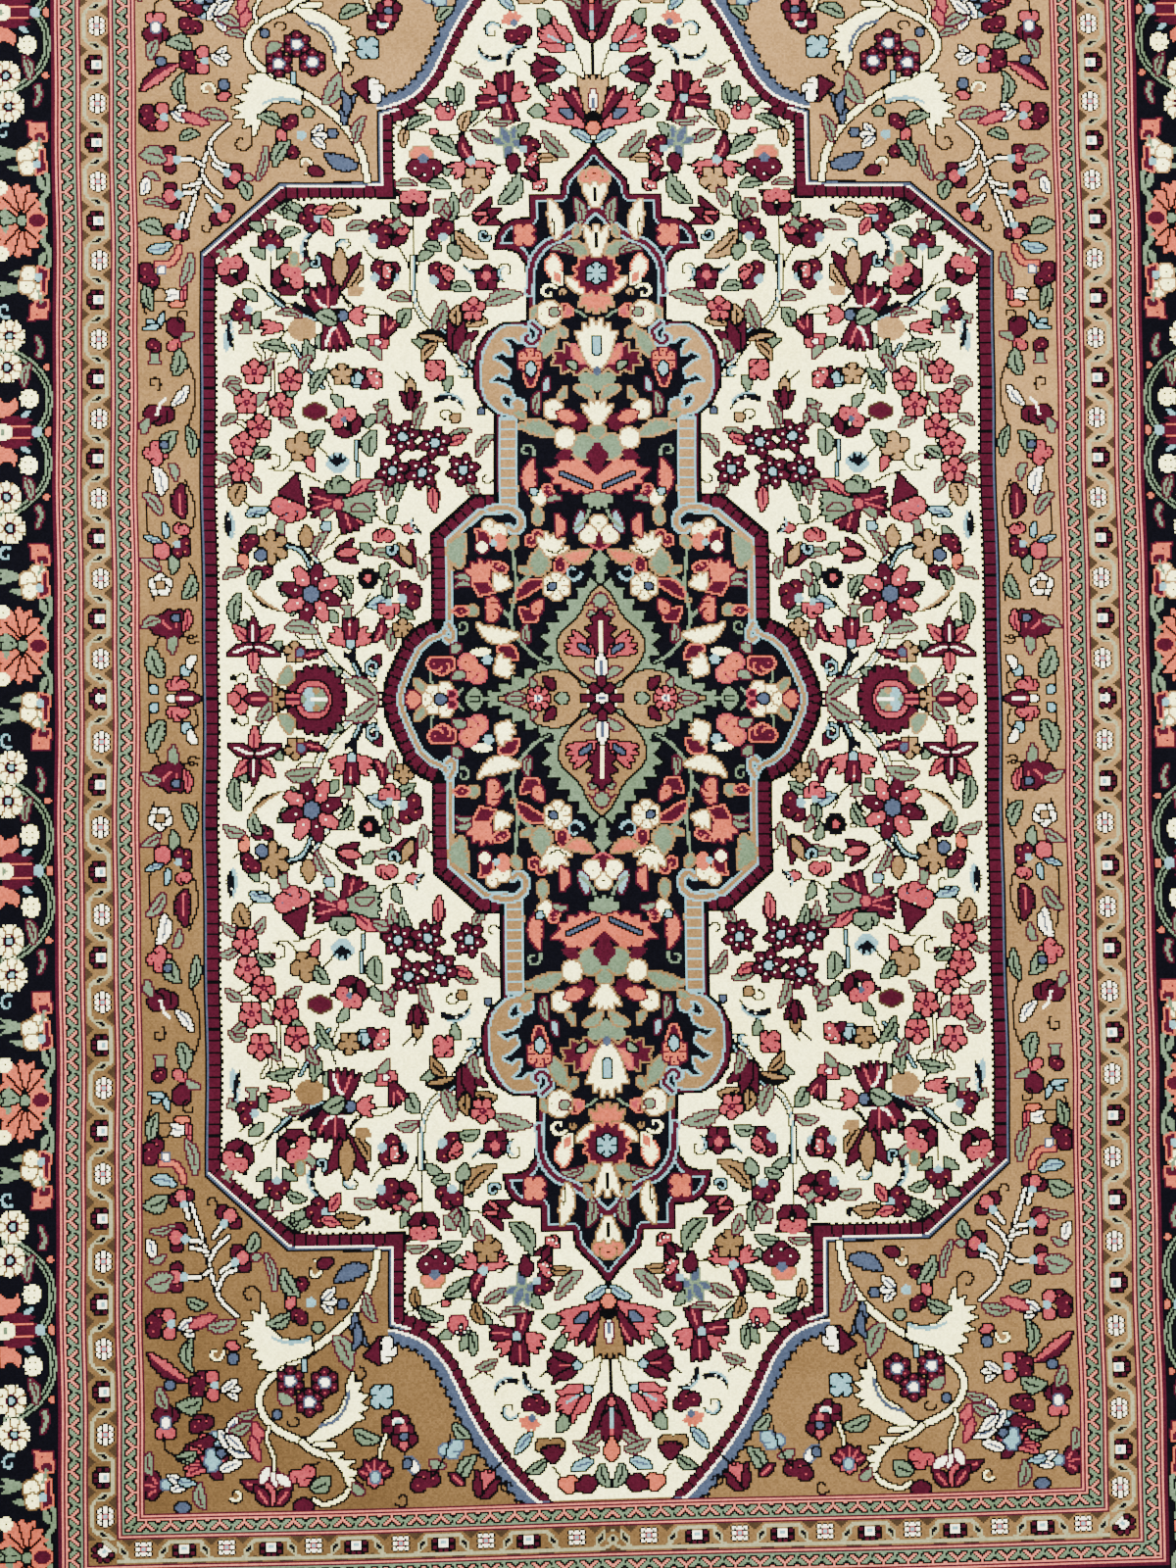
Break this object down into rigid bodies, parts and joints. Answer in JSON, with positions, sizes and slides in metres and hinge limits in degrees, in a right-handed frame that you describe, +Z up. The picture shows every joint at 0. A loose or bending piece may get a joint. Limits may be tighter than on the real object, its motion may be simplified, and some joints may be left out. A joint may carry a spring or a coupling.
{
  "type": "persian rug",
  "caption": "Hand-knotted wool rug lying flat, with a medallion and corner design, overcast side cords and a short warp fringe at each end.",
  "frame": {"origin": "centre of the underside, on the floor", "axes": "+Z up from the floor through the pile, +Y along the warps and the rug's length, +X across its width"},
  "size_m": [1.4, 2.0264, 0.009],
  "materials": {
    "wool_pile": "sheared wool pile, matt with a soft sheen",
    "overcast_wool": "wrapped wool yarn, matt",
    "warp_cotton": "undyed cotton warp ends, matt"
  },
  "bodies": {
    "root": {"pile_body": "wool_pile", "selvedge_left": "overcast_wool", "selvedge_right": "overcast_wool", "fringe_top": "warp_cotton", "fringe_bottom": "warp_cotton"}
  },
  "joints": []
}
